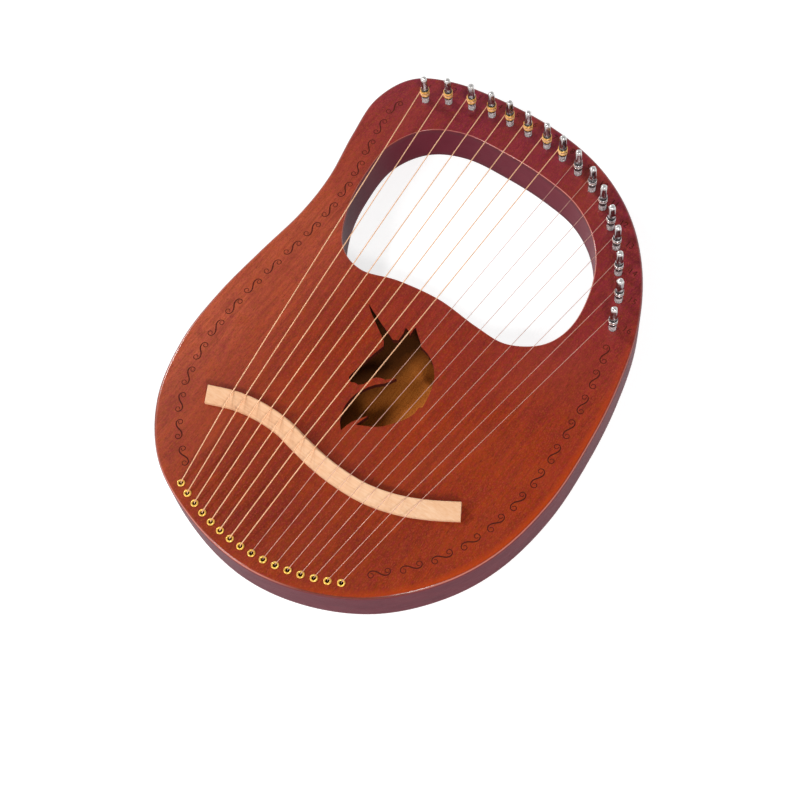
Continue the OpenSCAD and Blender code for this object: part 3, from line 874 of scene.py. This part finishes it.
# The bridge's section in mm: to the tail side of the ridge, and above the face
SECTION = [
    (10.5, 0), (10.5, 1.9), (10.35, 2.3), (10.0, 2.62), (6.5, 4.55), (3.2, 6.35), (1.2, 7.45),
    (0.6, 7.8), (0.2, 7.97), (-0.2, 7.97), (-0.55, 7.8), (-0.8, 7.4), (-2.0, 3.6), (-3, 0)]


def bridge():
    """Section carried along the ridge, and closed at both ends."""
    section = np.array(SECTION) * MM + [0, FACE]
    piece = Piece()
    index = piece.grid(carried(section, ridge, closed=False), round_v=True)
    piece.end(index[0, :-1])
    piece.end(index[-1, :-1], flip=True)
    piece.build("bridge_wood", maple, "body", ["bridge"])


bridge()


# ---------------------------------------------------------------- eyelets

# Each eyelet is a short tube with a collar on the face, whose section is half an ellipse
tube_end = FACE - 3.9 * MM
collar = [((2.05 + 0.65 * cos(a)) * MM, FACE + (0.1 + 0.78 * sin(a)) * MM)
          for a in np.linspace(0, pi, 9)]
rims = Piece()
for e in eyelets:
    lathe(rims, [(1.75 * MM, tube_end), (1.75 * MM, FACE)] + collar + [(1.2 * MM, tube_end)], e)
rims.build("eyelet_rims", eyelet_brass, "body", ["front_eyelets"])


# ---------------------------------------------------------------- pins, windings and strings

# How far each pin's square head is turned from having its corners along X and Y, in degrees
TURNS = [0, 10, -15, 5, 20, -5, 0, 15, -10, 5, -20, 10, 0, -5, 15, -10]


def tuning_pin(i):
    """Round shaft that turns into a tapered square head.

    Each row has a height, a radius r in mm and a power n: 2 for round, and more for squarer. It
    reaches r / (|cos a|^n + |sin a|^n) ^ (1 / n) from the axis at the angle a.
    """
    foot, top = [corner[2] for corner in boxes[i]]
    rows = [
        (foot, 2.3, 2), (foot + 0.6 * MM, 2.8, 2), (SHOULDER - 0.8 * MM, 2.8, 2),
        (SHOULDER - 0.1 * MM, 2.74, 2.1), (SHOULDER + 0.5 * MM, 2.42, 3.2),
        (SHOULDER + 1.2 * MM, 2.3, 4.5), (top - 2.4 * MM, 2.22, 4.5), (top - 1.7 * MM, 2.16, 3.8),
        (top - 1.1 * MM, 1.98, 3.2), (top - 0.6 * MM, 1.66, 2.7), (top - 0.25 * MM, 1.2, 2.3),
        (top - 0.06 * MM, 0.7, 2), (top, 0.25, 2)]
    z, r, n = np.array(rows).T[:, None]
    a = np.linspace(0, 2 * pi, 48, endpoint=False)[:, None]
    reach = r * MM / (np.abs(np.cos(a)) ** n + np.abs(np.sin(a)) ** n) ** (1 / n)
    spin = a + radians(45 + TURNS[i])
    x = pins[i][0] + reach * np.cos(spin)
    y = pins[i][1] + reach * np.sin(spin)
    piece = Piece()
    index = piece.grid(np.stack([x, y, np.broadcast_to(z, x.shape)], -1), round_u=True)
    piece.end(index[:-1, -1])
    piece.end(index[:-1, 0], flip=True)
    piece.build("pin_metal_" + label(i), nickel, "pin_" + label(i),
                ["tuning_pin_" + label(i)], sharp=50)


def winding(i):
    """Two coils of wire, below and above the level of the string.

    After t turns a coil is at the angle 2 pi t on its circle, and rise wire radii times t away
    from where it starts. A turn has 28 points.
    """
    r = wires[i]
    turns_above, rise = (3, 1.89) if i < BASS else (4, 2.17)
    piece = Piece()
    for way, turns in ((-1, 1.5), (1, turns_above)):
        t = np.linspace(0, turns, int(28 * turns) + 1)
        circle = round_about(pins[i], PIN_R + r, 2 * pi * t + radians(200))
        height = LEVEL + way * (2 * r + GAP + rise * r * t)
        tube(piece, np.column_stack([circle, height]), r * 0.99)
    piece.build("winding_" + label(i), coil_bronze if i < BASS else coil_steel,
                "pin_" + label(i), ["string_coil_" + label(i)], sharp=80)


def crossing(a, b, line):
    """Where the straight line from a to b crosses an open curve: there the side changes sign."""
    side = (line - a) @ np.array([b[1] - a[1], a[0] - b[0]])
    k = np.argmax(side[:-1] * side[1:] <= 0)
    return line[k] + (line[k + 1] - line[k]) * side[k] / (side[k] - side[k + 1])


def bend(before, corner, after, reach):
    """Points of a rounded corner, which starts and ends at reach from the sharp one.

    They are (1 - t)^2 start + 2 t (1 - t) corner + t^2 end, for t from 0 to 1.
    """
    t = np.linspace(0, 1, 8)[:, None]
    start = corner + (before - corner) / np.linalg.norm(before - corner) * reach
    end = corner + (after - corner) / np.linalg.norm(after - corner) * reach
    return (1 - t) ** 2 * start + 2 * t * (1 - t) * corner + t ** 2 * end


def string(i):
    """Wire from part of a turn on its pin, over the ridge and down through its eyelet."""
    r = wires[i]
    p, e = pins[i], eyelets[i]
    reach = PIN_R + GAP + r
    heading = (e - p) / np.linalg.norm(e - p)
    leave = p + reach * np.array([heading[1], -heading[0]])
    start = np.append(leave, LEVEL)
    over = np.append(crossing(leave, e, ridge), CREST + 0.1 * MM + r)
    mouth = np.append(e, FACE + 0.9 * MM + r)
    end = np.append(e, 0.7 * MM)
    spin = atan2(*(leave - p)[::-1]) + np.linspace(radians(170), 0, 24)
    wrap = lift(round_about(p, reach, spin), LEVEL)
    span = [start + (over - start) * t for t in (0.1, 0.3, 0.5, 0.7, 0.9)]
    tail = [over + (mouth - over) * t for t in (0.2, 0.5, 0.8)]
    path = np.vstack([wrap, span, bend(start, over, mouth, 1.5 * MM), tail,
                      bend(over, mouth, end, 1.0 * MM), [end]])
    piece = Piece()
    tube(piece, path, r)
    piece.build("wire_" + label(i), bronze if i < BASS else steel, "body",
                ["string_" + label(i)], sharp=80)


for i in range(COUNT):
    tuning_pin(i)
    winding(i)
    string(i)


# ---------------------------------------------------------------- pieces that stay as modelled

for node, material in (("pin_block", block_wood), ("tail_block", block_wood),
                       ("bridge_brace", spruce), ("back_ferrules", brass), ("string_balls", brass)):
    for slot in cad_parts[node].material_slots:
        slot.material = material


# ---------------------------------------------------------------- floor and light

def seen(shader):
    """1 where the camera, a mirror or a glass sees the surface, 0 for its light on other things."""
    rays = [shader.node("LightPath", out=name)
            for name in ("Is Camera Ray", "Is Glossy Ray", "Is Transmission Ray")]
    return rays[0] + rays[1] + rays[2]


def plain_floor():
    """Pale floor under the lyre, which shows white and keeps a soft shadow."""
    s = Shader("floor", Roughness=0.9, Base_Color=(0.5, 0.5, 0.5, 1), Emission_Strength=0.74)
    s.set(Emission_Color=s.mix(seen(s), (0, 0, 0, 1), (1, 1, 1, 1)))
    reach, under = 9, -0.2 * MM
    corners = [(-reach, -reach), (reach, -reach), (reach, reach), (-reach, reach)]
    mesh = bpy.data.meshes.new("floor")
    mesh.from_pydata([(x, y, under) for x, y in corners], [], [(0, 1, 2, 3)])
    mesh.materials.append(s.material)
    floor = bpy.data.objects.new("floor", mesh)
    scene.collection.objects.link(floor)


def lamp(name, place, size, power):
    """Round lamp that points at the middle of the lyre's back."""
    data = bpy.data.lights.new(name, "AREA")
    data.shape = "DISK"
    data.size = size
    data.energy = power
    light = bpy.data.objects.new(name, data)
    light.location = place
    light.rotation_euler = (-Vector(place)).to_track_quat("-Z", "Y").to_euler()
    scene.collection.objects.link(light)


plain_floor()
lamp("key", (-1.75, 0.25, 1.35), 0.3, 19)
lamp("right", (1.15, -1.0, 1.35), 0.4, 17)
lamp("front", (-0.75, -1.35, 1.15), 0.4, 12)

# The studio is bright where the direction's Z is below 0.3, and dim overhead, from 0.75 upwards
world = bpy.data.worlds.new("studio")
world.use_nodes = True
scene.world = world
tree = world.node_tree
direction = tree.nodes.new("ShaderNodeTexCoord")
parts = tree.nodes.new("ShaderNodeSeparateXYZ")
fade = tree.nodes.new("ShaderNodeMapRange")
for name, value in (("From Min", 0.3), ("From Max", 0.75), ("To Min", 1.0), ("To Max", 0.09)):
    fade.inputs[name].default_value = value
tree.links.new(direction.outputs["Generated"], parts.inputs[0])
tree.links.new(parts.outputs["Z"], fade.inputs["Value"])
tree.links.new(fade.outputs[0], tree.nodes["Background"].inputs["Strength"])
tree.nodes["Background"].inputs["Color"].default_value = (1, 1, 1, 1)
